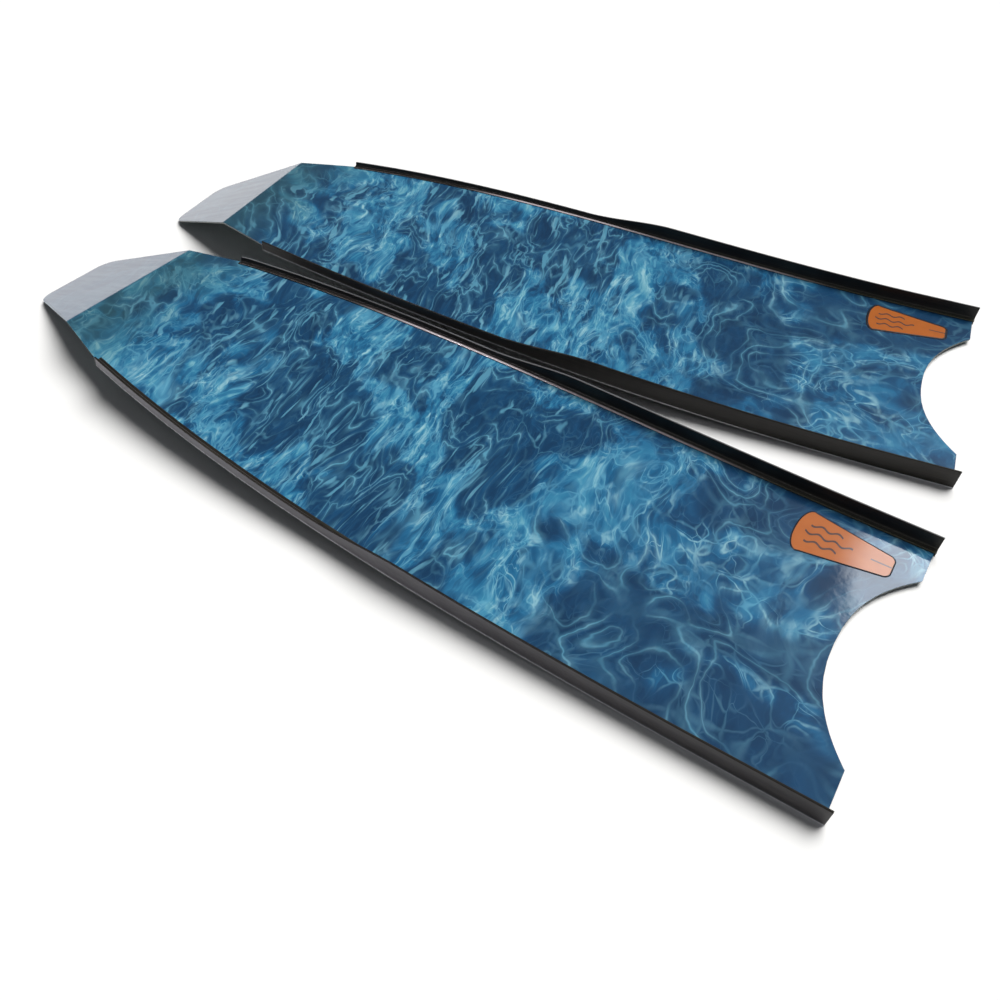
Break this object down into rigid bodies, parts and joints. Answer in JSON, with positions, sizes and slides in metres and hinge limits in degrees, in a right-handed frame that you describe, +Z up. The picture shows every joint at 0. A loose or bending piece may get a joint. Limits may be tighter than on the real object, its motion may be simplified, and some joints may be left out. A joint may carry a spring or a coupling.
{
  "type": "pair of long bi-fin blades",
  "caption": "Pair of long glass-fibre fin blades with rubber side rails, a folded tip flap and a rounded cut-out between tabs for a foot pocket.",
  "frame": {"origin": "centre of the box's base, on the floor between the two blades", "axes": "+X towards the foot ends, +Y towards the right blade, +Z up from the floor out of the printed faces"},
  "size_m": [0.7266, 0.4842, 0.0371],
  "materials": {
    "printed_laminate": "clear glossy resin over a printed sea-water pattern",
    "glass_laminate": "woven glass fibre in resin, satin",
    "back_ply": "woven glass fibre in resin, satin",
    "rubber": "black extruded rubber with fine lengthwise lines",
    "adhesive": "cured adhesive",
    "label": "orange sticker with a dark outline and no lettering"
  },
  "bodies": {
    "left_blade": {"left_print_ply": "printed_laminate", "left_core_laminate": "glass_laminate", "left_long_back_ply": "back_ply", "left_short_back_ply": "back_ply", "left_outer_rail": "rubber", "left_inner_rail": "rubber", "left_outer_adhesive": "adhesive", "left_inner_adhesive": "adhesive", "left_label": "label"},
    "right_blade": {"right_print_ply": "printed_laminate", "right_core_laminate": "glass_laminate", "right_long_back_ply": "back_ply", "right_short_back_ply": "back_ply", "right_outer_rail": "rubber", "right_inner_rail": "rubber", "right_outer_adhesive": "adhesive", "right_inner_adhesive": "adhesive", "right_label": "label"}
  },
  "joints": [
    {"name": "right_blade_lift", "type": "slide", "parent": "left_blade", "child": "right_blade", "axis": [0, 0, 1], "range_m": [0, 0.15]}
  ]
}
